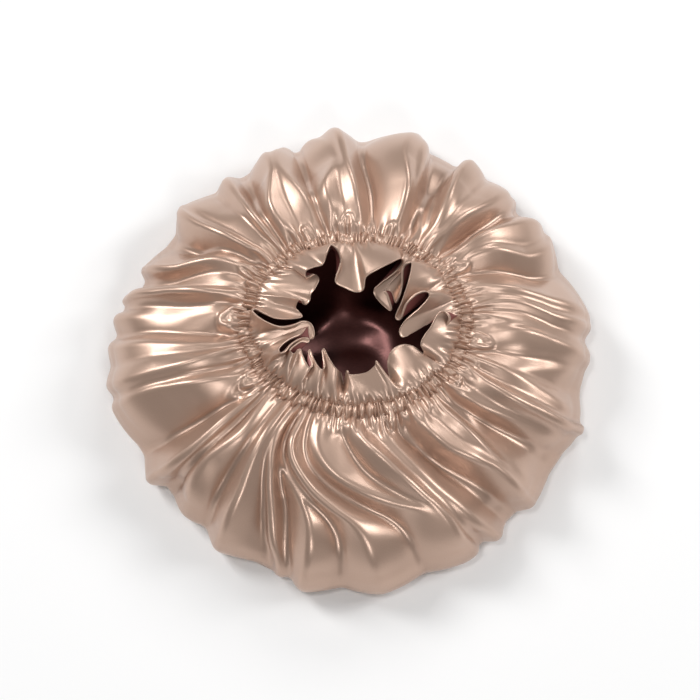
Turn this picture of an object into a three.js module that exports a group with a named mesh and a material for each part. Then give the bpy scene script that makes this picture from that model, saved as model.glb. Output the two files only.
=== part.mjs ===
// A double-layer satin sleep bonnet, lying crown down with its elastic opening up.
// Millimetres, +Z up. Angles are in degrees, counted from +X towards +Y.
import * as THREE from "three";

// Cloth
const SHELL_WALL = 1.2;
const LINING_WALL = 1.0;
const FRILL_WALL = 1.0;
const GAP = 0.3;

// Rim: the widest line of the stuffed-out bonnet
const RIM_HEIGHT = 24;
const RIM_FOLD_DEPTH = 5;

// Casing: the gathered elastic channel round the opening, an oval ring
const CASING = { x: 4.5, y: 3.5, radiusX: 80, radiusY: 67, height: 67 };
const CASING_HALF_THICKNESS = 2.4;
const CASING_HALF_HEIGHT = 5;
const CASING_RIB_DEPTH = 0.7;
const CASING_RIBS = 48;

// One row for each fold of the gathered panel. The valley before the fold and the fold's crest each run
// from the rim over the middle of the panel to the casing, at the angles given. reach is the crest's
// distance from the middle of the bonnet at the rim.
const FOLD_COLUMNS = [
  "valleyRim",
  "valleyMid",
  "valleyCasing",
  "crestRim",
  "crestMid",
  "crestCasing",
  "reach",
];
const FOLDS = rows(FOLD_COLUMNS, [
  [-1, 3, 6, 4.5, 7.5, 12, 182],
  [9, 12, 17, 15, 20, 26, 181],
  [27, 30, 34, 35, 39, 41, 181],
  [42, 44, 48, 52, 52, 56, 179],
  [62, 66, 67, 73, 72.5, 73, 187],
  [82, 83, 85, 93, 93, 94, 183],
  [100, 101, 103, 108, 111, 113, 176],
  [116, 122, 123, 135, 136, 132, 173],
  [144.5, 144, 141, 153, 153, 149, 172.5],
  [159, 158, 157, 163, 163, 163, 173],
  [166.5, 168, 169, 173, 175, 178, 180],
  [179.5, 182, 186, 186, 189, 194, 181],
  [191, 195, 203, 196, 201, 207, 182],
  [204, 207, 211, 213, 216, 217, 174],
  [219.5, 221, 223, 224, 225, 227, 177],
  [228.5, 230, 231, 238, 236, 234.5, 177],
  [245.5, 241, 237, 250.5, 244, 240, 180],
  [254, 247, 243, 259, 251, 246, 184],
  [267, 256, 249, 278, 265, 256, 184],
  [291, 273, 262, 298, 284, 271, 180],
  [303, 294, 280, 307.5, 299, 288, 181],
  [313, 304, 296, 320, 313, 304, 177],
  [330, 323, 313.5, 339, 334, 323.5, 184],
  [348, 340, 334, 354.5, 353, 346, 181],
]);

// Columns of the mesh along each fold, from valley to valley
const FOLD_SAMPLES = [0, 0.2, 0.4, 0.6, 0.8];
const FOLD_SQUEEZE = 0.5;

// A fold of the usual width has the height that its ring gives, and a wider one is higher
const USUAL_FOLD_WIDTH = 15;
const LEAST_FOLD_SIZE = 0.7;
const MOST_FOLD_SIZE = 1.3;

// One row for each ring of the shell's outside, from the flat foot over the rim to the casing.
// size is the share of the rim's radius, inward the share of the way to the casing, z the height of the
// valleys. fold is the height of the folds there, which goes outward by out and upward by up.
const RING_COLUMNS = ["size", "inward", "z", "fold", "out", "up"];
const SHELL_RINGS = rows(RING_COLUMNS, [
  [0.83, 0, 0, 0, 1, 0],
  [0.94, 0, 5, 3, 1, 0.1],
  [1, 0, RIM_HEIGHT, RIM_FOLD_DEPTH, 1, 0],
  [0.965, 0, 42, 6, 0.8, 0.6],
  [1, 0.2, 51.5, 8, 0.45, 0.9],
  [1, 0.42, 57.5, 9.5, 0.3, 0.95],
  [1, 0.63, 61, 11, 0.25, 0.97],
  [1, 0.83, 62.5, 11, 0.1, 1],
  [1, 0.968, 63, 6, -0.05, 1],
]);

// The ring at the rim, where the crown meets the gathered panel
const RIM_RING = 2;

// The lining's own softer folds, and how far it hangs below the shell's valleys
const LINING_FOLDS = 12;
const LINING_COLUMNS_PER_FOLD = 5;
const LINING_FOLD_DEPTH = 5;
const LINING_DROP = 2.4;
const LINING_NECK = { size: 1, inward: 1, z: 64 };
const NEAREST_FOLDS = 3;

// One row for each flute of the frill. The free edge comes forward over the opening at tip, and goes back
// towards the casing at back. Angles are about the casing's middle, and reach is the distance from there.
const FLUTE_COLUMNS = ["tip", "tipReach", "tipZ", "back", "backReach", "backZ"];
const FLUTES = rows(FLUTE_COLUMNS, [
  [8, 31, 78, 20, 56, 88],
  [31, 34, 76, 45, 57, 92],
  [64, 40, 84, 76, 52, 86],
  [98, 27, 77, 111, 57, 90],
  [124, 44, 85, 133, 54, 78],
  [146, 38, 80, 159, 51, 79],
  [170, 40, 80, 180, 68, 86],
  [192, 36, 80, 204, 59, 86],
  [214, 38, 80, 226, 50, 82],
  [237, 34, 79, 258, 50, 72],
  [277, 40, 79, 297, 51, 71],
  [316, 39, 76, 330, 57, 74],
  [343, 36, 80, 358, 62, 86],
]);
const FLUTE_SAMPLES = 8;
const FRILL_RINGS = [0, 0.3, 0.65, 1];
const FRILL_BULGE = 6;
const FRILL_ROOT_INSET = 1.2;

const DEGREE = Math.PI / 180;

// Rows of numbers as objects with named columns.
function rows(columns, table) {
  return table.map((row) => Object.fromEntries(columns.map((name, i) => [name, row[i]])));
}

function lerp(a, b, t) {
  return a + (b - a) * t;
}

// The value at t of the curve through three values at t = 0, 0.5 and 1.
function throughThree(a, b, c, t) {
  return a * (1 - t) * (1 - 2 * t) + 4 * b * t * (1 - t) + c * t * (2 * t - 1);
}

// A fold's share of its width and of its height, a share s of the way along its cloth.
function foldSection(s) {
  return {
    along: s + (FOLD_SQUEEZE * Math.sin(4 * Math.PI * s)) / (4 * Math.PI),
    height: (1 - Math.cos(2 * Math.PI * s)) / 2,
  };
}

// The angle, reach and height of one mesh column, at a share inward of the way to the casing. The
// height is a share of the ring's fold height.
function foldColumn(index, sample, inward) {
  const fold = FOLDS[index];
  const before = FOLDS[(index + FOLDS.length - 1) % FOLDS.length];
  const after = FOLDS[(index + 1) % FOLDS.length];
  const turn = index === FOLDS.length - 1 ? 360 : 0;
  const valley = throughThree(fold.valleyRim, fold.valleyMid, fold.valleyCasing, inward);
  const crest = throughThree(fold.crestRim, fold.crestMid, fold.crestCasing, inward);
  const next = throughThree(after.valleyRim, after.valleyMid, after.valleyCasing, inward) + turn;
  const { along, height } = foldSection(sample);
  const rising = along < 0.5;
  const size = THREE.MathUtils.clamp(
    Math.sqrt((next - valley) / USUAL_FOLD_WIDTH),
    LEAST_FOLD_SIZE,
    MOST_FOLD_SIZE,
  );
  return {
    angle: rising ? lerp(valley, crest, 2 * along) : lerp(crest, next, 2 * along - 1),
    reach: rising
      ? lerp(before.reach, fold.reach, 0.5 + along)
      : lerp(fold.reach, after.reach, along - 0.5),
    height: height * size,
  };
}

// A point on the bonnet's foldless form: size of the rim's radius, inward towards the casing.
function formPoint(angle, reach, ring, extraOut, z) {
  const rim = (reach - RIM_FOLD_DEPTH) * ring.size;
  const radiusX = lerp(rim, CASING.radiusX, ring.inward) + extraOut;
  const radiusY = lerp(rim, CASING.radiusY, ring.inward) + extraOut;
  return new THREE.Vector3(
    CASING.x * ring.inward + radiusX * Math.cos(angle * DEGREE),
    CASING.y * ring.inward + radiusY * Math.sin(angle * DEGREE),
    z,
  );
}

// A point on the oval through the casing, or on one out of it by a distance.
function ovalPoint(angle, out, z) {
  return new THREE.Vector3(
    CASING.x + (CASING.radiusX + out) * Math.cos(angle * DEGREE),
    CASING.y + (CASING.radiusY + out) * Math.sin(angle * DEGREE),
    z,
  );
}

// The shell's outside: an array of rings, each an array of points.
function shellOutside() {
  return SHELL_RINGS.map((ring) =>
    FOLDS.flatMap((fold, index) =>
      FOLD_SAMPLES.map((sample) => {
        const { angle, reach, height } = foldColumn(index, sample, ring.inward);
        const rise = height * ring.fold;
        return formPoint(angle, reach, ring, rise * ring.out, ring.z + rise * ring.up);
      }),
    ),
  );
}

// The reach of the shell's nearest folds at an angle, where they reach least.
function leastReach(angle) {
  const away = (fold) => Math.abs(((angle - fold.crestRim + 540) % 360) - 180);
  const nearest = [...FOLDS].sort((a, b) => away(a) - away(b)).slice(0, NEAREST_FOLDS);
  return Math.min(...nearest.map((fold) => fold.reach));
}

// The lining's outside. It hangs inside the shell's valleys, in softer folds of its own.
function liningOutside() {
  const columns = LINING_FOLDS * LINING_COLUMNS_PER_FOLD;
  const angles = Array.from({ length: columns }, (unused, column) => (column * 360) / columns);
  const form = [...SHELL_RINGS.slice(0, -1), LINING_NECK].map((ring) =>
    angles.map((angle) => formPoint(angle, leastReach(angle), ring, 0, ring.z)),
  );
  return offsetRings(form, (row, column) => {
    const soft = row === 0 || row === SHELL_RINGS.length - 1 ? 0 : LINING_FOLD_DEPTH;
    const { height } = foldSection((column / LINING_COLUMNS_PER_FOLD) % 1);
    return -LINING_DROP - soft * (1 - height);
  });
}

// The normals of a surface of rings, by the differences of neighbouring points.
function ringNormals(rings) {
  return rings.map((ring, row) =>
    ring.map((point, column) => {
      const count = ring.length;
      const left = ring[(column + count - 1) % count];
      const right = ring[(column + 1) % count];
      const below = rings[Math.max(row - 1, 0)][column];
      const above = rings[Math.min(row + 1, rings.length - 1)][column];
      const across = new THREE.Vector3().subVectors(right, left);
      const up = new THREE.Vector3().subVectors(above, below);
      return across.cross(up).normalize();
    }),
  );
}

// A surface of rings, moved along its normals by a distance worked out for each row and column.
function offsetRings(rings, distanceAt) {
  const normals = ringNormals(rings);
  return rings.map((ring, row) =>
    ring.map((point, column) =>
      point.clone().addScaledVector(normals[row][column], distanceAt(row, column)),
    ),
  );
}

// A closed solid from rings of equal length. The rings go up the outside and down the inside, whose
// facets are split the same way. Where start and end are points, fans close the two ends there.
// Otherwise the last ring joins the first.
function solidFromRings(rings, start = null, end = null) {
  const positions = [];
  const indices = [];
  const count = rings[0].length;
  rings.flat().forEach((point) => positions.push(point.x, point.y, point.z));
  const joined = start ? rings.length - 1 : rings.length;
  for (let row = 0; row < joined; row++) {
    const next = (row + 1) % rings.length;
    for (let column = 0; column < count; column++) {
      const right = (column + 1) % count;
      const a = row * count + column;
      const b = row * count + right;
      const c = next * count + right;
      const d = next * count + column;
      const goingDown = row >= rings.length / 2;
      indices.push(...(goingDown ? [a, b, d, b, c, d] : [a, b, c, a, c, d]));
    }
  }
  if (start) {
    const first = positions.length / 3;
    positions.push(start.x, start.y, start.z, end.x, end.y, end.z);
    const lastRow = (rings.length - 1) * count;
    for (let column = 0; column < count; column++) {
      const right = (column + 1) % count;
      indices.push(first, right, column);
      indices.push(first + 1, lastRow + column, lastRow + right);
    }
  }
  const geometry = new THREE.BufferGeometry();
  geometry.setAttribute("position", new THREE.Float32BufferAttribute(positions, 3));
  geometry.setIndex(indices);
  geometry.computeVertexNormals();
  return geometry;
}

// The inside of a bowl of cloth, a wall's thickness within its outside, over a flat foot.
function insideRings(outside, wall) {
  const footZ = outside[0][0].z + wall;
  const inside = offsetRings(outside, () => -wall);
  inside[0].forEach((point) => (point.z = footZ));
  inside.flat().forEach((point) => (point.z = Math.max(point.z, footZ)));
  return inside;
}

// A bowl of cloth, from the middle of its flat foot up to the last of its rings.
function bowlGeometry(outside, inside) {
  const start = new THREE.Vector3(0, 0, outside[0][0].z);
  const end = new THREE.Vector3(0, 0, inside[0][0].z);
  return solidFromRings([...outside, ...[...inside].reverse()], start, end);
}

// A band of cloth between its outside and inside rings.
function bandGeometry(outside, inside) {
  return solidFromRings([...outside, ...[...inside].reverse()]);
}

// The rings of a surface from one to another, with the one at the rim moved up or down.
function ringsAtRim(rings, from, to, rise) {
  return rings.slice(from, to).map((ring, row) =>
    ring.map((point) => {
      const moved = point.clone();
      moved.z += from + row === RIM_RING ? rise : 0;
      return moved;
    }),
  );
}

// The casing: a band with a rounded section, ribbed by its gathers.
function casingGeometry() {
  const columns = CASING_RIBS * 2;
  const section = [
    [1, -0.55],
    [1, 0.55],
    [0, 1],
    [-1, 0.55],
    [-1, -0.55],
    [0, -1],
  ];
  const rings = section.map(([out, up]) =>
    Array.from({ length: columns }, (unused, column) => {
      const rib = column % 2 ? CASING_RIB_DEPTH : 0;
      const half = CASING_HALF_THICKNESS - rib;
      return ovalPoint((column * 360) / columns, out * half, CASING.height + up * CASING_HALF_HEIGHT);
    }),
  );
  return solidFromRings(rings);
}

// The middle surface of the frill: rings from the casing's top to the free edge.
function frillMiddle() {
  const rootZ = CASING.height + CASING_HALF_HEIGHT + GAP;
  return FRILL_RINGS.map((share) =>
    FLUTES.flatMap((flute, index) => {
      const following = FLUTES[(index + 1) % FLUTES.length];
      const nextTip = following.tip + (index === FLUTES.length - 1 ? 360 : 0);
      return Array.from({ length: FLUTE_SAMPLES }, (unused, sample) => {
        const s = sample / FLUTE_SAMPLES;
        const goingBack = s < 0.5;
        const half = goingBack ? 2 * s : 2 * s - 1;
        const blend = (1 - Math.cos(Math.PI * half)) / 2;
        const angle = goingBack ? lerp(flute.tip, flute.back, half) : lerp(flute.back, nextTip, half);
        const reach = goingBack
          ? lerp(flute.tipReach, flute.backReach, blend)
          : lerp(flute.backReach, following.tipReach, blend);
        const edgeZ = goingBack
          ? lerp(flute.tipZ, flute.backZ, blend)
          : lerp(flute.backZ, following.tipZ, blend);
        const root = ovalPoint(angle, -FRILL_ROOT_INSET, rootZ);
        const edge = new THREE.Vector3(
          CASING.x + reach * Math.cos(angle * DEGREE),
          CASING.y + reach * Math.sin(angle * DEGREE),
          edgeZ,
        );
        const point = root.lerp(edge, share);
        point.z += FRILL_BULGE * 4 * share * (1 - share);
        return point;
      });
    }),
  );
}

// A layer of the frill between two distances from its middle surface, both on the same side.
function frillGeometry(from, to) {
  const middle = frillMiddle();
  return bandGeometry(
    offsetRings(middle, () => to),
    offsetRings(middle, () => from),
  );
}

function cloth(color, roughness) {
  return new THREE.MeshStandardMaterial({ color, roughness, metalness: 0 });
}

function piece(name, geometry, material) {
  const mesh = new THREE.Mesh(geometry, material);
  mesh.name = name;
  return mesh;
}

const champagne = () => cloth(0xbea596, 0.32);
const brown = () => cloth(0x32161a, 0.36);

const shell = shellOutside();
const shellInside = insideRings(shell, SHELL_WALL);
const crown = bowlGeometry(
  ringsAtRim(shell, 0, RIM_RING + 1, -GAP / 2),
  ringsAtRim(shellInside, 0, RIM_RING + 1, -GAP / 2),
);
const panel = bandGeometry(
  ringsAtRim(shell, RIM_RING, shell.length, GAP / 2),
  ringsAtRim(shellInside, RIM_RING, shell.length, GAP / 2),
);
const liningRings = liningOutside();
const lining = bowlGeometry(liningRings, insideRings(liningRings, LINING_WALL));

const bonnet = new THREE.Group();
bonnet.add(piece("crown", crown, champagne()));
bonnet.add(piece("gathered_panel", panel, champagne()));
bonnet.add(piece("lining", lining, brown()));
bonnet.add(piece("elastic_casing", casingGeometry(), champagne()));
bonnet.add(piece("frill_outer", frillGeometry(GAP / 2, GAP / 2 + FRILL_WALL), champagne()));
bonnet.add(piece("frill_lining", frillGeometry(-GAP / 2 - FRILL_WALL, -GAP / 2), brown()));

// The middle of the underside's box is the origin.
const box = new THREE.Box3().setFromObject(bonnet);
const middle = box.getCenter(new THREE.Vector3());
bonnet.position.set(-middle.x, -middle.y, -box.min.z);

export default bonnet;
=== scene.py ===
"""A double-layer satin sleep bonnet, lying crown down with its gathered opening up."""
import math

import bpy
import numpy as np
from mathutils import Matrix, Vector


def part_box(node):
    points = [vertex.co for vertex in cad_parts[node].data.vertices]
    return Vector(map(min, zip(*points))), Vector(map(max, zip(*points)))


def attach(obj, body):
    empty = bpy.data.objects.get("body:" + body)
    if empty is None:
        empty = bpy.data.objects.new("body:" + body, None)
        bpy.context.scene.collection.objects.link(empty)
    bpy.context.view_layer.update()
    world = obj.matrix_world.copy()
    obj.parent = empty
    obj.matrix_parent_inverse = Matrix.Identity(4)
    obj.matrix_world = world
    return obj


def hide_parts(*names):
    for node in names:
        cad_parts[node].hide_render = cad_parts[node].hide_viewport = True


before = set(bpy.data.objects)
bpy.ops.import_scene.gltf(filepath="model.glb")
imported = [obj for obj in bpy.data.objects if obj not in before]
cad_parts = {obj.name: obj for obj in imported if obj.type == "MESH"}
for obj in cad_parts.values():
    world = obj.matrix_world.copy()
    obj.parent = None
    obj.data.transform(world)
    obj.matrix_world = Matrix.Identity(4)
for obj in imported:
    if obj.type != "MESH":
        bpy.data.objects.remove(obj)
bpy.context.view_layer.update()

# Lengths are in millimetres until a mesh is made, and angles in degrees from +X towards +Y.
MM = 0.001

# Casing: the oval ring of gathers round the opening
CASING_X, CASING_Y = 4.5, 3.5
CASING_RADIUS_X, CASING_RADIUS_Y = 80.0, 67.0
CASING_Z = 67.0
# How far the foldless form lies inside the outline, and the lowest that cloth lies over the floor
RIM_FOLD_DEPTH = 5.0
FLOOR_GAP = 0.4

# The bonnet's own middle in the frame, from where the casing is
casing_low, casing_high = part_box("elastic_casing")
MIDDLE_X = (casing_low[0] + casing_high[0]) / 2 / MM - CASING_X
MIDDLE_Y = (casing_low[1] + casing_high[1]) / 2 / MM - CASING_Y

# The rim's outline, a row for each place round it: its angle and its distance from the bonnet's middle
OUTLINE_ANGLE, OUTLINE_REACH = range(2)
OUTLINE = np.array([
    [4, 182], [35, 181], [52, 180], [73, 187], [93, 183], [108, 177], [135, 173], [153, 172], [164, 174],
    [176, 181], [196, 182], [213, 175], [238, 177], [250, 180], [262, 184], [280, 184], [298, 181],
    [320, 178], [339, 184], [354, 181],
])

# One row for each crest of the gathered panel: its angle in the picture round the casing's middle, at the
# rim, a third and two thirds of the way in and at the casing; its height at the same four places, as a
# share of the usual one; how round it is, from an edge at 0 to a dome at 1; which share of the way to the
# next crest the valley lies and how deep it is.
(AT_RIM, AT_THIRD, AT_TWO_THIRDS, AT_CASING, RIM_RISE, THIRD_RISE, TWO_THIRDS_RISE, CASING_RISE,
 ROUND, VALLEY, DEEP) = range(11)
CRESTS = np.array([
    [-9, -3.5, -0.5, -2, 0.8, 0.9, 0.9, 0.4, 0.5, 0.5, 0.3],
    [-6.5, -2, 3, 6, 0.8, 0.8, 0.8, 0.8, 0.1, 0.6, 0.7],
    [0, 3, 9.5, 11, 1, 0.9, 0.9, 0.8, 0.3, 0.5, 0.5],
    [2.5, 8, 14.5, 23, 1, 0.9, 0.9, 0.6, 0.3, 0.6, 0.8],
    [25.5, 22.5, 30, 33, 0.8, 0.7, 0.9, 0.3, 0.2, 0.4, 0.5],
    [29.5, 33, 37.5, 37, 0.8, 1, 1, 0.7, 0.4, 0.7, 1],
    [38.8, 38.5, 39, 39, 0.8, 0.5, 0.1, 0, 0.2, 0.3, 0.6],
    [42.5, 42, 46, 47.5, 0.8, 1, 1, 0.8, 0.6, 0.5, 0.4],
    [56, 57, 53, 48.5, 0.9, 1.1, 1.1, 0.8, 0.8, 0.6, 0.7],
    [60, 60.5, 59, 51, 0, 0.1, 0.6, 0.7, 0.3, 0.5, 0.5],
    [62, 62, 61, 55, 0, 0, 0.4, 0.6, 0.3, 0.6, 1.2],
    [70.5, 67.5, 66, 64, 0.8, 0.9, 0.8, 0.5, 0.1, 0.4, 0.4],
    [71.8, 74.5, 69, 67.5, 1, 1.1, 1.1, 0.8, 0.4, 0.68, 1],
    [96, 94, 90, 87, 1.1, 1.1, 1, 0.9, 0.3, 0.5, 0.4],
    [104, 97, 102, 100, 0.7, 0.8, 1, 0.9, 0.4, 0.6, 0.9],
    [111, 115, 111.5, 112, 0.8, 1, 0.9, 0.9, 0.5, 0.5, 0.4],
    [117.5, 118, 125, 125.5, 0.8, 1.1, 1, 0.9, 0.4, 0.65, 1.2],
    [130, 131, 132, 134, 0.7, 0.9, 1, 0.9, 0.4, 0.35, 0.6],
    [143.8, 142, 139.5, 138, 0.9, 0.8, 0.7, 0.6, 0.1, 0.5, 0.3],
    [145, 147, 144.5, 141.5, 1.1, 1.1, 1.1, 1, 0.3, 0.38, 1.1],
    [165.5, 162, 153, 150, 0.8, 0.8, 0.8, 0.6, 0.3, 0.5, 0.7],
    [167, 165, 160, 158, 0.2, 0.3, 0.5, 0.7, 0.4, 0.6, 0.9],
    [173.5, 169.5, 167, 163, 1, 1.1, 1.1, 0.9, 0.4, 0.4, 1],
    [178, 176, 174, 172, 1, 0.6, 0.5, 0.7, 0.4, 0.6, 0.8],
    [184, 183.7, 185, 187, 0.9, 0.9, 0.8, 0.7, 0.2, 0.5, 0.35],
    [193.5, 193, 191.5, 189, 1, 1.1, 1.1, 0.9, 0.4, 0.5, 0.9],
    [197.5, 196.7, 199, 203.5, 0.9, 1, 1, 0.8, 0.3, 0.62, 0.9],
    [216.5, 217, 215, 213, 1.2, 1.2, 1.1, 0.9, 0.2, 0.35, 1.2],
    [227, 221.8, 222, 216, 0.7, 1, 1, 0.8, 0.6, 0.5, 0.8],
    [237.5, 234.5, 229.5, 227.5, 1.1, 1, 1, 0.9, 0.2, 0.75, 1],
    [253, 244, 235, 231.5, 0.7, 0.8, 0.9, 0.8, 0.3, 0.3, 1],
    [258, 256, 239.5, 235.5, 1.1, 0.9, 0.3, 0.1, 0.2, 0.5, 0.7],
    [275, 269.5, 241, 237, 1, 1, 1.1, 1, 0.4, 0.5, 0.8],
    [295.5, 291, 257, 245.5, 0.9, 1, 0.9, 0.8, 0.5, 0.55, 0.6],
    [297.5, 294, 284, 264, 0.9, 1.1, 1.2, 1, 0.4, 0.35, 0.9],
    [303.5, 299, 292, 281, 1, 0.8, 0.7, 0.5, 0.1, 0.55, 1.2],
    [314.5, 314, 306, 303.5, 1, 1.1, 1.1, 1, 0.4, 0.5, 0.35],
    [316, 317, 318.5, 317.5, 0.8, 0.9, 1, 0.9, 0.4, 0.5, 0.3],
    [316.8, 319, 320.5, 320, 0.8, 0.7, 0.3, 0.2, 0.1, 0.65, 1],
    [333, 331, 328.5, 327, 0.6, 0.6, 0.7, 0.8, 0.5, 0.5, 0.3],
    [335.3, 335, 336.5, 341, 1.2, 1.1, 1, 0.7, 0.2, 0.4, 0.8],
    [338, 341, 344.5, 347, 0.5, 0.7, 0.8, 0.7, 0.2, 0.5, 0.6],
    [350, 348, 346, 348.5, 0.5, 0.6, 0.7, 0.4, 0.2, 0.4, 0.6],
])
PLACES_IN = np.array([0, 1 / 3, 2 / 3, 1])

# One row for each arch of cloth that stands against the casing: its angle in the picture and half its width
# in degrees, how far out it reaches and how high it stands
ARCHES = np.array([
    [354, 4.5, 28, 6], [30, 3.2, 24, 5], [35.5, 3, 14, 4], [70.5, 4, 14, 6], [95, 8, 38, 8], [94, 4.5, 20, 8],
    [118, 7.5, 32, 6], [118, 3.5, 15, 7], [151.5, 4, 26, 6], [176, 6.5, 22, 7], [208, 6.5, 37, 8],
    [207, 3.6, 20, 8], [258, 5, 20, 4], [290, 3, 15, 5], [310, 7, 34, 6], [310, 5, 16, 7],
    [333.5, 7, 34, 7], [332, 4, 12, 7], [343, 3, 18, 5],
])

# One row for each ring of the outer cloth, from the flat foot over the rim to the casing: its share of the
# rim's radius, the share of the way to the casing, and the height of its valleys and of its crests.
SIZE, INWARD, HEIGHT, CREST = range(4)
RINGS = np.array([
    [0.83, 0, 0.4, 0],
    [0.95, 0, 1.5, 2],
    [0.985, 0, 5, 7],
    [0.985, 0, 10.5, 13.5],
    [0.98, 0.03, 17, 17],
    [0.98, 0.09, 24, 19.5],
    [1, 0.2, 33, 21.5],
    [1, 0.42, 44, 24],
    [1, 0.63, 52, 24],
    [1, 0.83, 59, 17],
    [1, 0.94, 64, 9],
    [1, 1.0, 67, 3],
])

# The grid of the gathered panel, and over how many of its columns each way the outline is rounded
PANEL_COLUMNS, PANEL_ROWS = 800, 110
OUTLINE_SMOOTHING = 14
# The steepest that a valley's flanks are: in a gentle one, and how much more in a deep one
GENTLE_SLOPE, DEEP_SLOPE = 0.3, 1.2
# How widely an arch runs into the folds
ARCH_BLEND = 4.0
# Distances from the middle of the flat circle of cloth: the foot's edge, the casing, and the frill's start
# and end
FOOT_RADIUS, CLOTH_RADIUS, FRILL_START, FRILL_END = 146.0, 285.0, 300.0, 347.0
FOOT_ROWS = 10


def smooth_columns(places, table, wanted):
    """The table's columns at the wanted places, on cubic curves through its rows."""
    slopes = np.gradient(table, places, axis=0)
    index = np.clip(np.searchsorted(places, wanted, side="right") - 1, 0, len(places) - 2)
    span = (places[index + 1] - places[index])[:, None]
    t = (wanted - places[index])[:, None] / span
    return (
        (1 + 2 * t) * (1 - t) ** 2 * table[index]
        + t * (1 - t) ** 2 * span * slopes[index]
        + t * t * (3 - 2 * t) * table[index + 1]
        - t * t * (1 - t) * span * slopes[index + 1]
    )


def through_three(first, middle, last, t):
    """The value at t of the curve through three values at t = 0, 0.5 and 1."""
    return first * (1 - t) * (1 - 2 * t) + 4 * middle * t * (1 - t) + last * t * (2 * t - 1)


def smooth_step(low, high, x):
    """From 0 at low to 1 at high, level at both."""
    t = np.clip((x - low) / (high - low), 0, 1)
    return t * t * (3 - 2 * t)


def rim_reach(angle):
    """The rim's distance from the middle of the bonnet."""
    return np.interp(angle, OUTLINE[:, OUTLINE_ANGLE], OUTLINE[:, OUTLINE_REACH], period=360)


def form_points(angle, reach, size, inward, height):
    """Points on the bonnet's foldless form."""
    rim = (reach - RIM_FOLD_DEPTH) * size
    radius_x = rim * (1 - inward) + CASING_RADIUS_X * inward
    radius_y = rim * (1 - inward) + CASING_RADIUS_Y * inward
    turn = np.radians(angle)
    x = CASING_X * inward + radius_x * np.cos(turn)
    y = CASING_Y * inward + radius_y * np.sin(turn)
    return np.stack([x, y, height + 0 * x], axis=-1)


def ring_normals(points):
    """Unit normals of a grid of points whose rows are closed rings, outward for rings going up."""
    across = np.roll(points, -1, axis=1) - np.roll(points, 1, axis=1)
    up = np.gradient(points, axis=0)
    normal = np.cross(across, up)
    return normal / np.maximum(np.linalg.norm(normal, axis=-1, keepdims=True), 1e-9)


def waves(seed, count, low, high, u, drift):
    """A sum of as many sine waves as count says, each with low to high periods in a turn, u being the share
    of the turn. They drift with the rows, each its own way."""
    random = np.random.default_rng(seed)
    total = 0
    for number in random.integers(low, high, count):
        phase, lean = random.random(), random.normal() * 0.5
        total = total + np.sin(2 * np.pi * (number * u + phase + lean * drift))
    return total / math.sqrt(count)


# Camera, which the folds and the frill's edge are measured from as well. Places in the picture are in pixels
# from its top left corner.
PICTURE_SIZE = 700
PICTURE_HALF = PICTURE_SIZE / 2
IMAGE_WIDTH_AT_SUBJECT = 530.6
CAMERA_DISTANCE = 1300.0
CAMERA_ELEVATION = 70.0
LOOK_AT = (0.0, -1.6, 24.0)
SENSOR = 36.0
TILT = math.radians(CAMERA_ELEVATION)
CASING_MIDDLE_IN_PICTURE = (356, 325)


def picture_scale(z):
    """The width of a pixel of the picture at a height above the floor."""
    nearer = (z - LOOK_AT[2]) * math.sin(TILT)
    return IMAGE_WIDTH_AT_SUBJECT / PICTURE_SIZE * (CAMERA_DISTANCE - nearer) / CAMERA_DISTANCE


def under_picture(x, y, z):
    """Where a place of the picture is, at a height above the floor."""
    scale = picture_scale(z)
    right = (x - PICTURE_HALF) * scale
    away = ((PICTURE_HALF - y) * scale - (z - LOOK_AT[2]) * math.cos(TILT)) / math.sin(TILT) + LOOK_AT[1]
    return np.stack([right - MIDDLE_X, away - MIDDLE_Y, z], axis=-1)


def picture_angle(points):
    """The angle of points round the casing's middle, as the picture shows them."""
    x, y, z = points[..., 0] + MIDDLE_X, points[..., 1] + MIDDLE_Y, points[..., 2]
    scale = picture_scale(z)
    right = PICTURE_HALF + x / scale - CASING_MIDDLE_IN_PICTURE[0]
    down = PICTURE_HALF - ((y - LOOK_AT[1]) * math.sin(TILT) + (z - LOOK_AT[2]) * math.cos(TILT)) / scale
    return np.degrees(np.arctan2(CASING_MIDDLE_IN_PICTURE[1] - down, right))


def turn_between(angle, start):
    """The shorter turn from one angle to another."""
    return (angle - start + 180) % 360 - 180


def higher_of(a, b, blend):
    """The higher of two heights, with the crease between them rounded off."""
    near = np.maximum(0, blend - np.abs(a - b))
    return np.maximum(a, b) + near * near / (4 * blend)


def casing_wobble(angle):
    """How far the casing strays outward and upward from its oval, as its gathers push it about."""
    share = angle / 360
    return 1.1 * waves(21, 5, 5, 24, share, 0), 0.8 * waves(22, 5, 5, 24, share, 0)


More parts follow.
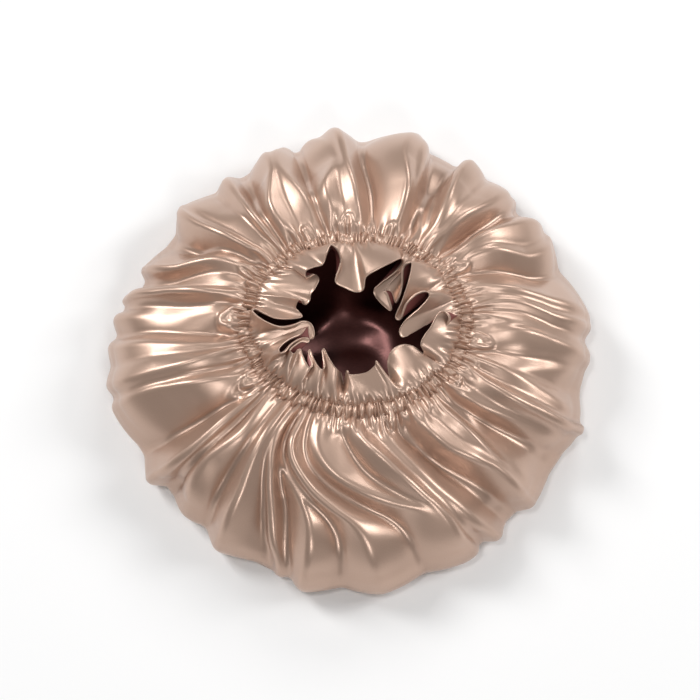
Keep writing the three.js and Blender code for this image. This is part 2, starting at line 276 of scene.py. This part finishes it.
def crest_sections(points, seen, rows, crests, rises):
    """How high the cloth stands at each point: from each crest down a flank into the valley and up the next
    flank to the next crest, no valley being deeper than its flanks are long."""
    height = 0 * seen
    middles = points[..., :2].mean(axis=1)
    for row in range(len(rows)):
        crest, rise = crests[row], rises[row]
        turned = (seen[row] - crest[0]) % 360 + crest[0]
        first = np.searchsorted(crest, turned, side="right") - 1
        second = (first + 1) % len(crest)
        gap = crest[second] + np.where(second == 0, 360, 0) - crest[first]
        share = (turned - crest[first]) / gap
        valley, deep = CRESTS[first, VALLEY], CRESTS[first, DEEP]
        lower = np.minimum(rise[first], rise[second])
        higher = np.maximum(rise[first], rise[second])
        across = np.radians(gap) * np.hypot(*(points[row, :, :2] - middles[row]).T)
        steepest = GENTLE_SLOPE + DEEP_SLOPE * deep * deep
        low = np.maximum(lower * (1 - deep), higher - steepest * across / 2 / (rows[row, CREST] + 1e-6))
        low = np.minimum(low, lower)
        falling = share < valley
        x = np.where(falling, share / valley, (1 - share) / (1 - valley))
        top = np.where(falling, rise[first], rise[second])
        dome = np.where(falling, CRESTS[first, ROUND], CRESTS[second, ROUND])
        profile = (1 - dome) * (1 - x) ** 1.05 + dome * np.sqrt(1 - x * x)
        height[row] = rows[row, CREST] * (low + (top - low) * profile)
    return height


def panel_points():
    """The gathered panel's cloth, as rows of rings from the foot to the casing, and each row's share of the
    way in to the casing."""
    mean_rim = np.mean(OUTLINE[:, OUTLINE_REACH]) - RIM_FOLD_DEPTH
    mean_casing = (CASING_RADIUS_X + CASING_RADIUS_Y) / 2
    radius = mean_rim * RINGS[:, SIZE] * (1 - RINGS[:, INWARD]) + mean_casing * RINGS[:, INWARD]
    chord = np.hypot(np.diff(radius), np.diff(RINGS[:, HEIGHT]))
    places = np.concatenate([[0], np.cumsum(chord)])
    rows = smooth_columns(places, RINGS, np.linspace(0, places[-1], PANEL_ROWS))
    inward = rows[:, INWARD, None]
    angle = np.arange(PANEL_COLUMNS)[None] * 360 / PANEL_COLUMNS
    reach = smoothed(rim_reach(angle), 0, OUTLINE_SMOOTHING)
    points = form_points(angle, reach, rows[:, SIZE, None], inward, rows[:, HEIGHT, None])
    crest_height = np.array([0, 0, 1]) * rows[:, CREST, None, None]
    seen = picture_angle(points + crest_height)

    crests = smooth_columns(PLACES_IN, CRESTS[:, AT_RIM:RIM_RISE].T, np.clip(inward[:, 0], 0, 1))
    crests = np.maximum.accumulate(crests + 0.01 * np.arange(len(CRESTS)), axis=1)
    rises = smooth_columns(PLACES_IN, CRESTS[:, RIM_RISE:ROUND].T, np.clip(inward[:, 0], 0, 1))
    rises = np.maximum(0, rises)
    height = crest_sections(points, seen, rows, crests, rises)
    height = smoothed(smoothed(height, 1, 1), 1, 1)
    distance = (1 - inward) * (mean_rim - mean_casing)
    for place, half_width, length, rise in ARCHES:
        apart = np.hypot(turn_between(seen, place) / half_width, distance / length)
        arch = np.maximum(np.exp(-(((apart - 0.7) / 0.3) ** 2)), 0.7 * smooth_step(1.05, 0.6, apart))
        height = higher_of(height, (rise + ARCH_BLEND) * arch, ARCH_BLEND)
    height = smoothed(height, 0, 1)
    uneven = (
        0.6 * waves(11, 6, 5, 16, angle / 360, 1.6 * inward)
        + 0.25 * waves(12, 6, 16, 34, angle / 360, 2 * inward)
    )
    height = height + smooth_step(0.0, 0.2, inward) * (1 - smooth_step(0.7, 0.95, inward)) * uneven
    # Low at the casing, so that the cloth's edge ends inside it
    height = height * (1 - 0.75 * smooth_step(0.92, 1, inward))
    points = points + ring_normals(points) * height[..., None]
    out_by, up_by = casing_wobble(angle)
    turn = np.radians(angle)
    stray = np.stack([out_by * np.cos(turn), out_by * np.sin(turn), up_by], axis=-1)
    points = points + stray * smooth_step(0.75, 1, inward)[..., None]
    points[..., 2] = np.maximum(points[..., 2], FLOOR_GAP)
    return points, inward


def link_vectors(x, down, right):
    """From each point to the one that is so many rows down and columns to the right of it."""
    return np.roll(x, -right, axis=1)[down:] - x[: len(x) - down]


def smoothed(values, rows, columns):
    """A running mean over a grid whose rows are closed rings."""
    for axis, reach, mode in ((1, columns, "wrap"), (0, rows, "edge")):
        if not reach:
            continue
        pads = [(0, 0), (0, 0)]
        pads[axis] = (reach, reach)
        padded = np.cumsum(np.pad(values, pads, mode=mode), axis=axis)
        first = np.take(padded, [0], axis=axis) * 0
        padded = np.concatenate([first, padded], axis=axis)
        size = values.shape[axis]
        high = np.take(padded, np.arange(size) + 2 * reach + 1, axis=axis)
        values = (high - np.take(padded, np.arange(size), axis=axis)) / (2 * reach + 1)
    return values


def relax_cloth(start, steps, bend, cap, spread):
    """The cloth after its threads have pulled themselves to their own lengths: nearly unstretchable links
    between neighbours, and soft ones two and four apart against sharp bends. No point moves more than the
    cap, and the first two rows and the last one stay where they are."""
    x = start.astype(np.float32)
    anchor = x.copy()
    before = x.copy()
    links = []
    for down, right, stiff in ((0, 1, 1), (1, 0, 1), (1, 1, 0.4), (1, -1, 0.4),
                               (0, 2, bend), (2, 0, bend), (0, 4, bend), (4, 0, bend)):
        rest = smoothed(np.linalg.norm(link_vectors(x, down, right), axis=-1), *spread)
        links.append((down, right, stiff, rest.astype(np.float32)))
    for _ in range(steps):
        moving = 0.92 * (x - before)
        before = x.copy()
        x += moving
        for down, right, stiff, rest in links:
            d = link_vectors(x, down, right)
            length = np.sqrt(np.einsum("ijk,ijk->ij", d, d)) + 1e-6
            pull = (length - rest) / length
            if stiff < 0.4:
                pull = np.minimum(pull, 0)
            d *= (0.22 * stiff * pull)[..., None]
            x[: len(x) - down] += d
            x[down:] -= np.roll(d, right, axis=1)
        move = x - anchor
        far = np.linalg.norm(move, axis=-1, keepdims=True)
        x = anchor + move * np.minimum(1, cap / np.maximum(far, 1e-6))
        x[..., 2] = np.maximum(x[..., 2], FLOOR_GAP)
        x[:2] = anchor[:2]
        x[-1:] = anchor[-1:]
    return x.astype(float)


def make_grid(name, points, depth, middle=None):
    """A mesh of closed rings, in the frame's metres. Its UV map is the flat circle of cloth that it's
    gathered from, depth being each ring's distance from the middle of that circle."""
    rows, columns = points.shape[:2]
    shift = np.array([MIDDLE_X, MIDDLE_Y, 0])
    vertices = points.reshape(-1, 3) + shift
    turn = np.arange(columns) * 2 * math.pi / columns
    flat = np.stack([
        np.outer(depth, np.cos(turn)).ravel(), np.outer(depth, np.sin(turn)).ravel()
    ], axis=-1)
    index = np.arange(rows * columns).reshape(rows, columns)
    right = np.roll(index, -1, axis=1)
    faces = np.stack([index[:-1], right[:-1], right[1:], index[1:]], axis=-1).reshape(-1, 4).tolist()
    if middle is not None:
        vertices = np.vstack([vertices, np.array([middle]) + shift])
        flat = np.vstack([flat, [[0, 0]]])
        faces += [[rows * columns, int(b), int(a)] for a, b in zip(right[0], index[0])]
    mesh = bpy.data.meshes.new(name)
    mesh.from_pydata((vertices * MM).tolist(), [], faces)
    layer = mesh.uv_layers.new(name="cloth")
    corners = np.empty(len(mesh.loops), dtype=np.int64)
    mesh.loops.foreach_get("vertex_index", corners)
    layer.data.foreach_set("uv", (flat[corners] * MM).ravel())
    mesh.shade_smooth()
    mesh.update()
    piece = bpy.data.objects.new(name, mesh)
    bpy.context.scene.collection.objects.link(piece)
    return piece


def satin(name, color, sheen_tint, roughness, metallic, sheen, coat, grain):
    """Glossy polyester satin: long floats along the warp, which stretch its highlights, and fine grain."""
    material = bpy.data.materials.new(name)
    material.use_nodes = True
    nodes, links = material.node_tree.nodes, material.node_tree.links
    shader = nodes["Principled BSDF"]
    shader.inputs["Roughness"].default_value = roughness
    shader.inputs["Metallic"].default_value = metallic
    shader.inputs["Specular IOR Level"].default_value = 0.6
    shader.inputs["Anisotropic"].default_value = 0.4
    shader.inputs["Sheen Weight"].default_value = sheen
    shader.inputs["Sheen Roughness"].default_value = 0.4
    shader.inputs["Sheen Tint"].default_value = (*sheen_tint, 1)
    shader.inputs["Coat Weight"].default_value = coat
    shader.inputs["Coat Roughness"].default_value = 0.3
    tangent = nodes.new("ShaderNodeTangent")
    tangent.direction_type = "UV_MAP"
    tangent.uv_map = "cloth"
    links.new(tangent.outputs["Tangent"], shader.inputs["Tangent"])
    place = nodes.new("ShaderNodeUVMap")
    place.uv_map = "cloth"
    warp = nodes.new("ShaderNodeMapping")
    warp.inputs["Scale"].default_value = (1, 3.5, 1)
    links.new(place.outputs["UV"], warp.inputs["Vector"])
    weave = nodes.new("ShaderNodeTexNoise")
    weave.inputs["Scale"].default_value = 900
    weave.inputs["Detail"].default_value = 2
    links.new(warp.outputs["Vector"], weave.inputs["Vector"])
    ramp = nodes.new("ShaderNodeValToRGB")
    ramp.color_ramp.elements[0].position = 0.3
    ramp.color_ramp.elements[0].color = (*[c * (1 - grain) for c in color], 1)
    ramp.color_ramp.elements[1].position = 0.7
    ramp.color_ramp.elements[1].color = (*[min(1, c * (1 + grain)) for c in color], 1)
    links.new(weave.outputs["Fac"], ramp.inputs["Fac"])
    links.new(ramp.outputs["Color"], shader.inputs["Base Color"])
    bump = nodes.new("ShaderNodeBump")
    bump.inputs["Strength"].default_value = 0.3
    bump.inputs["Distance"].default_value = 0.0001
    links.new(weave.outputs["Fac"], bump.inputs["Height"])
    links.new(bump.outputs["Normal"], shader.inputs["Normal"])
    return material


PALE_TINT, DARK_TINT = (1, 0.93, 0.86), (0.9, 0.5, 0.5)
champagne = satin(
    "champagne_satin", (0.56, 0.38, 0.29), PALE_TINT,
    roughness=0.34, metallic=0.55, sheen=0.03, coat=0.4, grain=0.05,
)
gathered = satin(
    "gathered_satin", (0.54, 0.36, 0.27), PALE_TINT,
    roughness=0.34, metallic=0.5, sheen=0.03, coat=0.4, grain=0.05,
)
brown = satin(
    "brown_satin", (0.16, 0.045, 0.038), DARK_TINT,
    roughness=0.3, metallic=0.45, sheen=0.0, coat=0.0, grain=0.1,
)
# The frill's lining is the lining's brown satin made lighter and less metallic. That is painted light, so
# that the shaded insides of its curls look lit.
frill_brown_with_painted_light = satin(
    "brown_satin_with_painted_light", (0.24, 0.075, 0.066), DARK_TINT,
    roughness=0.4, metallic=0.3, sheen=0.0, coat=0.0, grain=0.1,
)


def add_sheet(piece, material, nodes):
    """Give a piece its material, hang it from the root body and hide the parts of the model that it stands in
    for.
    """
    piece.data.materials.append(material)
    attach(piece, "root")
    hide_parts(*nodes)


# Outer cloth, and how high the fine pleats are that it and the frill have next to the casing
PLEAT_HEIGHT = 0.9


def outer_cloth_points():
    """The flat foot and then the panel, which has fine pleats next to the casing, with each ring's distance
    from the middle of the flat cloth."""
    points, inward = panel_points()
    share = np.arange(PANEL_COLUMNS)[None] / PANEL_COLUMNS
    fine = smooth_step(0.88, 1, inward) * PLEAT_HEIGHT * waves(3, 5, 100, 150, share, inward)
    fine = fine + smooth_step(0.78, 0.97, inward) * PLEAT_HEIGHT * waves(4, 6, 45, 80, share, inward)
    points += ring_normals(points) * fine[..., None]
    points = relax_cloth(points, steps=20, bend=0.05, cap=1.5, spread=(1, 2))
    foot_rows = np.linspace(0.05, 0.97, FOOT_ROWS)
    foot = points[:1] * foot_rows[:, None, None] * np.array([1, 1, 0]) + np.array([0, 0, FLOOR_GAP])
    panel_depth = np.linspace(FOOT_RADIUS, CLOTH_RADIUS, PANEL_ROWS)
    return np.concatenate([foot, points]), np.concatenate([FOOT_RADIUS * foot_rows, panel_depth])


cloth_points, cloth_depth = outer_cloth_points()
outer_cloth = make_grid("outer_cloth", cloth_points, cloth_depth, middle=[0, 0, FLOOR_GAP])
add_sheet(
    outer_cloth, champagne, ("crown", "gathered_panel")
)

# Casing: a ring-shaped tube of uneven puckers, none of which is pinched away
CASING_COLUMNS, CASING_ROWS = 1600, 41
CASING_HALF_WIDTH, CASING_HALF_HEIGHT = 5.6, 3.6
PUCKERS = 88
PUCKER_HEIGHT, CRINKLE_HEIGHT = 3.2, 0.9
DEEPEST_PUCKER = -3.3
# How far a pucker strays from its even place and leans over, as shares of the way to the next one
PUCKER_STRAY, PUCKER_LEAN = 1.1, 0.35


def casing_oval(angle, outward, up):
    """Points beside the casing's middle line."""
    turn = np.radians(angle)
    out_by, up_by = casing_wobble(angle)
    return np.stack(np.broadcast_arrays(
        CASING_X + (CASING_RADIUS_X + outward + out_by) * np.cos(turn),
        CASING_Y + (CASING_RADIUS_Y + outward + out_by) * np.sin(turn),
        CASING_Z + up + up_by,
    ), axis=-1)


def casing_points():
    """The casing's cloth, as rings from its outer side over its top and back underneath."""
    angle = np.arange(CASING_COLUMNS) * 360 / CASING_COLUMNS
    around = np.linspace(0, 2 * math.pi, CASING_ROWS)[:, None]
    share = angle / 360
    stray = PUCKER_STRAY * waves(31, 6, 9, 40, share, 0)
    lean = PUCKER_LEAN * waves(32, 5, 20, 60, share, 0)
    phase = PUCKERS * share + stray + lean * np.cos(around)
    pucker = np.abs(np.sin(math.pi * phase)) ** 0.7 - 0.6
    uneven = 1 + 0.5 * waves(33, 6, 20, 70, share, 0)
    crinkle = waves(34, 6, 90, 160, share, np.cos(around) / 3)
    swell = higher_of(PUCKER_HEIGHT * pucker * uneven + CRINKLE_HEIGHT * crinkle, DEEPEST_PUCKER, 1.2)
    half_wide, half_high = CASING_HALF_WIDTH + swell, CASING_HALF_HEIGHT + 0.8 * swell
    return casing_oval(angle, half_wide * np.cos(around), half_high * np.sin(around))


casing_depth = np.linspace(CLOTH_RADIUS, FRILL_START, CASING_ROWS)
casing = make_grid("elastic_casing_cloth", casing_points(), casing_depth)
add_sheet(casing, gathered, ("elastic_casing",))

# Frill: one row for each turn of its free edge, clockwise from the top: where it is in the picture, its
# height and the angle round the casing that its cloth comes from
EDGE_X, EDGE_Y, EDGE_Z, ROOT = range(4)
EDGE = np.array([
    [363, 289, 78, 92], [366, 276, 84, 88], [378, 268, 88, 82], [390, 262, 90, 75], [401, 257, 88, 68],
    [403, 262, 82, 64], [395, 272, 76, 62], [380, 284, 72, 60], [374, 291, 70, 58], [380, 301, 68, 57],
    [391, 310, 68, 55.5], [388, 297, 74, 54], [385, 290, 76, 53], [392, 291, 76, 52], [396, 302, 72, 51],
    [399, 297, 78, 50], [402, 285, 82, 49], [403, 268, 88, 47], [408, 262, 92, 45], [413, 263, 92, 42],
    [409, 282, 88, 36], [402, 302, 82, 32], [396, 316, 76, 28], [400, 319, 76, 26], [406, 304, 84, 24],
    [416, 294, 88, 22], [426, 291, 90, 20], [430, 296, 88, 18], [420, 308, 84, 16], [406, 320, 80, 14],
    [400, 330, 78, 11], [403, 337, 76, 9], [415, 331, 76, 7.5], [431, 321, 76, 6.5], [437, 328, 76, 5],
    [446, 325, 80, 4], [449, 317, 85, 3], [443, 311, 88, 2], [437, 316, 86, 0], [431, 327, 85, -6],
    [425, 335, 84, -14], [421, 344, 82, -22], [424, 352, 76, -28], [423, 360, 66, -32],
    [418, 350, 72, -36], [405, 345, 74, -45], [393, 350, 72, -52], [388, 362, 68, -58],
    [389, 380, 66, -62], [377, 362, 80, -66], [375, 366, 78, -70], [366, 373, 78, -74],
    [350, 375, 78, -88], [347, 371, 76, -92], [344, 385, 66, -97], [341, 374, 70, -100],
    [338, 371, 80, -102], [334, 366, 82, -104], [329, 358, 81, -105.5], [325, 350, 79, -107],
    [323, 350, 79, -108], [324, 358, 80, -109.5], [325, 366, 81, -111], [322, 370, 82, -112.5],
    [318, 366, 82, -114], [314, 359, 80, -116], [311, 351, 79, -118], [309, 351, 79, -119],
    [311, 358, 80, -120.5], [313, 364, 81, -122], [310, 368, 82, -123.5], [306, 363, 82, -125],
    [303, 356, 81, -127], [301, 350, 80, -129], [298, 350, 80, -130.5], [296, 353, 82, -132],
    [293, 354, 84, -134], [290, 350, 84, -135.5], [295, 345, 82, -137], [302, 341, 80, -138.5],
    [309, 342, 78, -140], [307, 338, 79, -141.5], [300, 339, 81, -143], [292, 344, 85, -145.5],
    [286, 351, 88, -148], [281, 353, 89, -150], [279, 349, 89, -152], [284, 343, 87, -154],
    [292, 338, 84, -156], [301, 334, 81, -158], [306, 328, 80, -160], [309, 327, 80, -161],
    [310, 334, 79, -162], [312, 339, 77, -163], [314, 334, 78, -164.5], [312, 326, 80, -166],
    [308, 322, 81, -167.5], [302, 322, 82, -169], [292, 326, 84, -171], [280, 327, 86, -173.5],
    [268, 323, 87, -176], [258, 317, 88, -179], [252, 311, 88, -182], [256, 309, 87, -184],
    [266, 314, 84, -186], [276, 318, 82, -188], [288, 319, 80, -190], [301, 317, 76, -192],
    [298, 311, 75, -193.5], [295, 307, 76, -195], [297, 301, 80, -197], [301, 299, 82, -198.5],
    [305, 304, 77, -201], [309, 300, 77, -204], [310, 294, 79, -207], [314, 288, 80, -210],
    [318, 279, 78, -216], [314, 274, 76, -222], [306, 277, 80, -226], [305, 270, 84, -229],
    [313, 266, 86, -233], [322, 263, 86, -238], [326, 252, 90, -243], [330, 243, 90, -247],
    [336, 246, 88, -250], [340, 253, 84, -253], [341, 262, 80, -256], [337, 275, 78, -259],
    [336, 282, 76, -262], [345, 287, 76, -264], [355, 291, 76, -266],
])
FRILL_COLUMNS, FRILL_ROWS = 1800, 26
CURVE_STEPS = 24
# Where the frill starts, from the casing's middle line: how far out and how far up
ROOT_OUT, ROOT_UP = -2.6, 2.2
# Where it then heads, inward and up, and where it comes to its edge from: which share of the way back to its
# start, and how far above that
RISE_IN, RISE_UP = 3, 8
FALL_SHARE, FALL_UP = 0.35, 3
# Each layer's distance from the surface midway between them, the rolled seam's radius, and the hem behind it
FRILL_GAP = 0.3
SEAM_RADIUS = 0.75
HEM_DEPTH, HEM_GAP = 1.0, 0.1


def closed_curve(nodes, count):
    """Points at even steps along a smooth closed curve through the nodes, and their places in its table."""
    total = len(nodes)
    t = np.arange(total * CURVE_STEPS) / CURVE_STEPS
    low = t.astype(int)
    part = (t - low)[:, None]
    a, b, c, d = (nodes[(low + step) % total] for step in (-1, 0, 1, 2))
    curve = b + 0.5 * part * (c - a + part * (2 * a - 5 * b + 4 * c - d + part * (3 * (b - c) + d - a)))
    steps = np.linalg.norm(np.roll(curve, -1, axis=0) - curve, axis=1)
    length = np.concatenate([[0], np.cumsum(steps)])
    wanted = np.arange(count) * length[-1] / count
    closed = np.vstack([curve, curve[:1]])
    points = np.stack([np.interp(wanted, length, closed[:, axis]) for axis in range(3)], axis=-1)
    return points, np.interp(wanted, length, np.append(t, total))


def frill_points():
    """The surface midway between the frill's two layers, as rings from its root to its free edge."""
    edge_nodes = under_picture(EDGE[:, EDGE_X], EDGE[:, EDGE_Y], EDGE[:, EDGE_Z])[::-1]
    roots = EDGE[::-1, ROOT]
    edge, place = closed_curve(edge_nodes, FRILL_COLUMNS)
    root_angle = np.interp(place, np.arange(len(roots) + 1), np.append(roots, roots[0] + 360))
    root = casing_oval(root_angle, ROOT_OUT, ROOT_UP)
    turn = np.radians(root_angle)
    inward_way = -np.stack([np.cos(turn), np.sin(turn), 0 * turn], axis=-1)
    rise = root + inward_way * RISE_IN + np.array([0, 0, RISE_UP])
    fall = edge + (root - edge) * FALL_SHARE + np.array([0, 0, FALL_UP])
    t = np.linspace(0, 1, FRILL_ROWS)[:, None, None]
    frill = (1 - t) ** 3 * root + 3 * t * (1 - t) ** 2 * rise + 3 * t * t * (1 - t) * fall + t**3 * edge
    share, along = root_angle[None] / 360, t[..., 0]
    fine = PLEAT_HEIGHT * (1 - smooth_step(0.03, 0.25, along)) * waves(41, 5, 100, 150, share, along)
    fine = fine + PLEAT_HEIGHT * (1 - smooth_step(0.1, 0.6, along)) * waves(42, 6, 40, 75, share, along)
    frill = frill + ring_normals(frill) * (fine * smooth_step(-0.02, 0.08, along))[..., None]
    return relax_cloth(frill, steps=15, bend=0.04, cap=2.0, spread=(1, 2))


def seam_points(frill, normal):
    """The outer layer's rings past its free edge: rolled over it, and down behind it as a hem."""
    edge = frill[-1:]
    up = edge - frill[-2:-1]
    up /= np.linalg.norm(up, axis=-1, keepdims=True)
    turns = np.radians([30, 60, 90, 120, 150, 180])[:, None, None]
    roll = edge + SEAM_RADIUS * (np.sin(turns) * up + np.cos(turns) * normal[-1:])
    hem = edge - HEM_DEPTH * up - (SEAM_RADIUS + HEM_GAP) * normal[-1:]
    return np.concatenate([roll, hem])


frill = frill_points()
normal = ring_normals(frill)
outer = np.concatenate([frill + FRILL_GAP * normal, seam_points(frill, normal)])
frill_outer = make_grid("frill_cloth", outer, np.linspace(FRILL_START, FRILL_END, len(outer)))
add_sheet(frill_outer, champagne, ("frill_outer",))
# The frill's lining takes the lightened brown, whose extra brightness is painted light.
inner = (frill - FRILL_GAP * normal)[::-1]
frill_lining = make_grid("frill_lining_cloth", inner, np.linspace(FRILL_END, FRILL_START, FRILL_ROWS))
add_sheet(frill_lining, frill_brown_with_painted_light, ("frill_lining",))

# Lining: a bowl of dark cloth on the crown, which stays under the panel's valleys as far as the casing. One
# row for each ring, as for the outer cloth.
LINING_COLUMNS, LINING_ROWS = 500, 120
# How far the lining is inside the outer cloth, how uneven it is out there, and how far its first and last
# rings are from the middle of its flat circle
LINING_GAP = 3
LINING_UNEVEN = 1.5
LINING_FIRST, LINING_LAST = 3, 280
LINING_SIZE, LINING_INWARD, LINING_HEIGHT = range(3)
LINING_RINGS = np.array([
    [0.02, 0, 2.5],
    [0.5, 0, 3],
    [0.8, 0, 4],
    [0.88, 0, 6],
    [0.92, 0, 9],
    [0.93, 0.06, 13],
    [0.95, 0.3, 24],
    [1, 0.6, 36],
    [1, 0.85, 48],
    [1, 1.0, 58],
])
# The middle of the lining's rings is moved under the opening's near side, where it doesn't show
LINING_MIDDLE_SHIFT, SHIFTED_SIZE = 75, 0.8
# How many steps a soft fold's crest is drawn in, and how high the three places on it are taken to be
FOLD_STEPS = 120
FOLD_Z = np.full(3, 8.0)
# One row for each soft fold that shows on the lining: three places on its crest in the picture, its height
# and its half width
SOFT_FOLDS = np.array([
    [304, 334, 346, 320, 372, 318, 8, 12],
    [366, 317, 384, 328, 402, 358, 8, 11],
    [348, 284, 349, 302, 354, 317, 5, 8],
    [328, 266, 336, 298, 314, 332, 8, 11],
    [392, 294, 398, 312, 406, 330, 4, 9],
    [326, 352, 350, 364, 374, 362, 4, 11],
])


def lining_points():
    """The lining, as rings from its middle to the casing."""
    places = np.linspace(0, 1, len(LINING_RINGS))
    rows = smooth_columns(places, LINING_RINGS, np.linspace(0, 1, LINING_ROWS))
    share_out, share_in = rows[:, LINING_SIZE, None], rows[:, LINING_INWARD, None]
    angle = np.arange(LINING_COLUMNS)[None] * 360 / LINING_COLUMNS
    reach = rim_reach(angle) - LINING_GAP
    lining = form_points(angle, reach, share_out, share_in, rows[:, LINING_HEIGHT, None])
    lining[..., 1] -= LINING_MIDDLE_SHIFT * np.maximum(0, 1 - share_out / SHIFTED_SIZE) * (share_in == 0)
    for x0, y0, x1, y1, x2, y2, rise, half_width in SOFT_FOLDS:
        start, middle, end = under_picture(np.array([x0, x1, x2]), np.array([y0, y1, y2]), FOLD_Z)
        fold = 0 * lining[..., 2]
        for along in np.linspace(0, 1, FOLD_STEPS):
            crest = through_three(start, middle, end, along)
            near = np.hypot(lining[..., 0] - crest[0], lining[..., 1] - crest[1]) / half_width
            lift = rise * math.sin(math.pi * (along * 0.8 + 0.1))
            fold = np.maximum(fold, lift * np.exp(-near * near))
        lining[..., 2] += fold * (share_in < 0.05)
    fade = smooth_step(0.6, 0.9, share_out) * (1 - smooth_step(0.8, 1, share_in))
    lining[..., 2] += fade * LINING_UNEVEN * waves(51, 6, 5, 17, angle / 360, 2 * share_out)
    return lining


lining = lining_points()
lining_depth = np.linspace(LINING_FIRST, LINING_LAST, LINING_ROWS)
lining_cloth = make_grid("lining_cloth", lining[:, ::-1], lining_depth, middle=lining[0].mean(axis=0))
add_sheet(lining_cloth, brown, ("lining",))

# Floor, light and camera
FLOOR_REACH = 6.0
floor_mesh = bpy.data.meshes.new("floor")
floor_corners = [(x * FLOOR_REACH, y * FLOOR_REACH, 0) for x, y in ((-1, -1), (1, -1), (1, 1), (-1, 1))]
floor_mesh.from_pydata(floor_corners, [], [(0, 1, 2, 3)])
floor = bpy.data.objects.new("floor", floor_mesh)
bpy.context.scene.collection.objects.link(floor)
paper = bpy.data.materials.new("floor_paper")
paper.use_nodes = True
paper_shader = paper.node_tree.nodes["Principled BSDF"]
paper_shader.inputs["Base Color"].default_value = (0.97, 0.97, 0.97, 1)
paper_shader.inputs["Roughness"].default_value = 0.9
floor.data.materials.append(paper)

world = bpy.data.worlds.new("studio")
world.use_nodes = True
background = world.node_tree.nodes["Background"]
background.inputs["Color"].default_value = (1, 1, 1, 1)
background.inputs["Strength"].default_value = 0.15
bpy.context.scene.world = world


def softbox(name, place, size, power):
    """A rectangular light aimed at the bonnet, in metres and watts."""
    light = bpy.data.lights.new(name, "AREA")
    light.shape = "RECTANGLE"
    light.size, light.size_y = size
    light.energy = power
    lamp = bpy.data.objects.new(name, light)
    lamp.location = place
    aim = Vector((0, 0, 0.05)) - Vector(place)
    lamp.rotation_euler = aim.to_track_quat("-Z", "Y").to_euler()
    bpy.context.scene.collection.objects.link(lamp)


softbox("left_light", (-1.9, 1.2, 1.9), (0.9, 0.9), 41)
softbox("right_light", (2.0, 0.5, 1.6), (0.9, 0.9), 24)
softbox("front_light", (0.5, -2.2, 1.9), (0.8, 0.8), 16.5)
softbox("back_light", (0.7, 2.1, 1.5), (1.2, 0.6), 15.5)
softbox("high_light", (-0.6, -0.3, 2.5), (0.35, 0.35), 10)

camera = bpy.data.objects.new("camera", bpy.data.cameras.new("camera"))
camera.data.sensor_width = SENSOR
camera.data.lens = SENSOR * CAMERA_DISTANCE / IMAGE_WIDTH_AT_SUBJECT
back = Vector((0, -math.cos(TILT), math.sin(TILT)))
camera.location = (Vector(LOOK_AT) + back * CAMERA_DISTANCE) * MM
camera.rotation_euler = (-back).to_track_quat("-Z", "Y").to_euler()
bpy.context.scene.collection.objects.link(camera)
bpy.context.scene.camera = camera
bpy.context.scene.view_settings.view_transform = "Standard"
